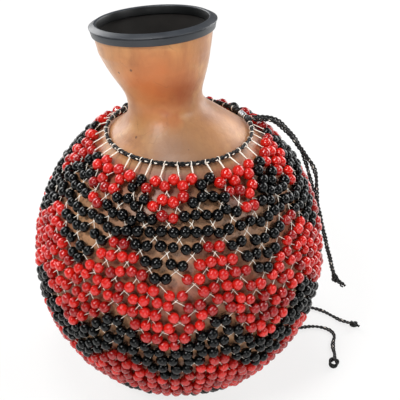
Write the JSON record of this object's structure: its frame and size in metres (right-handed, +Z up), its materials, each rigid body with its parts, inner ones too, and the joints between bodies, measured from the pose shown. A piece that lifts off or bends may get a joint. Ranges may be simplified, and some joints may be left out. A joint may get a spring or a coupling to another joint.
{
  "type": "shekere",
  "caption": "Hollow gourd rattle with a leaning neck and rubber-trimmed mouth, wrapped in a loose threaded net of red and black beads that turns on the gourd.",
  "frame": {"origin": "centre of the gourd's flat base, on the surface it stands on", "axes": "+Z up through the middle of the body, -Y the front, -X the side the neck leans to"},
  "size_m": [0.2925, 0.2316, 0.3089],
  "materials": {
    "gourd": "dried, lightly varnished gourd skin",
    "rim_rubber": "moulded satin black rubber edge trim",
    "sleeve_metal": "crimped grey aluminium tube",
    "red_bead": "glossy translucent red plastic",
    "black_bead": "glossy opaque black plastic",
    "black_cord": "plaited black cord",
    "white_thread": "waxed white thread"
  },
  "bodies": {
    "gourd": {"gourd_shell": "gourd", "rim_trim": "rim_rubber"},
    "bead_net": {"base_cord": "black_cord", "base_knot": "black_cord", "base_loops": "white_thread", "base_tail_back": "black_cord", "base_tail_back_knot": "black_cord", "base_tail_front": "black_cord", "base_tail_front_knot": "black_cord", "base_threads": "white_thread", "black_beads_row_01": "black_bead", "black_beads_row_02": "black_bead", "black_beads_row_03": "black_bead", "black_beads_row_04": "black_bead", "black_beads_row_05": "black_bead", "black_beads_row_06": "black_bead", "black_beads_row_07": "black_bead", "black_beads_row_11": "black_bead", "black_beads_row_12": "black_bead", "black_beads_row_13": "black_bead", "black_beads_row_14": "black_bead", "black_beads_row_15": "black_bead", "black_beads_row_16": "black_bead", "black_beads_row_17": "black_bead", "black_beads_row_21": "black_bead", "black_beads_row_22": "black_bead", "crimp_sleeve": "sleeve_metal", "hanger_loops": "white_thread", "hanger_threads": "white_thread", "neck_cord": "black_cord", "neck_knot": "black_cord", "neck_tail_back": "black_cord", "neck_tail_back_knot": "black_cord", "neck_tail_front": "black_cord", "neck_tail_front_knot": "black_cord", "net_knots": "white_thread", "net_threads_left": "white_thread", "net_threads_right": "white_thread", "red_beads_row_01": "red_bead", "red_beads_row_02": "red_bead", "red_beads_row_03": "red_bead", "red_beads_row_05": "red_bead", "red_beads_row_06": "red_bead", "red_beads_row_07": "red_bead", "red_beads_row_08": "red_bead", "red_beads_row_09": "red_bead", "red_beads_row_10": "red_bead", "red_beads_row_11": "red_bead", "red_beads_row_12": "red_bead", "red_beads_row_13": "red_bead", "red_beads_row_15": "red_bead", "red_beads_row_16": "red_bead", "red_beads_row_17": "red_bead", "red_beads_row_18": "red_bead", "red_beads_row_19": "red_bead", "red_beads_row_20": "red_bead", "red_beads_row_21": "red_bead", "red_beads_row_22": "red_bead"}
  },
  "joints": [
    {"name": "net_twist", "type": "hinge", "parent": "gourd", "child": "bead_net", "pos_m": [0, 0, 0.11], "axis": [0, 0, 1], "continuous": true}
  ]
}
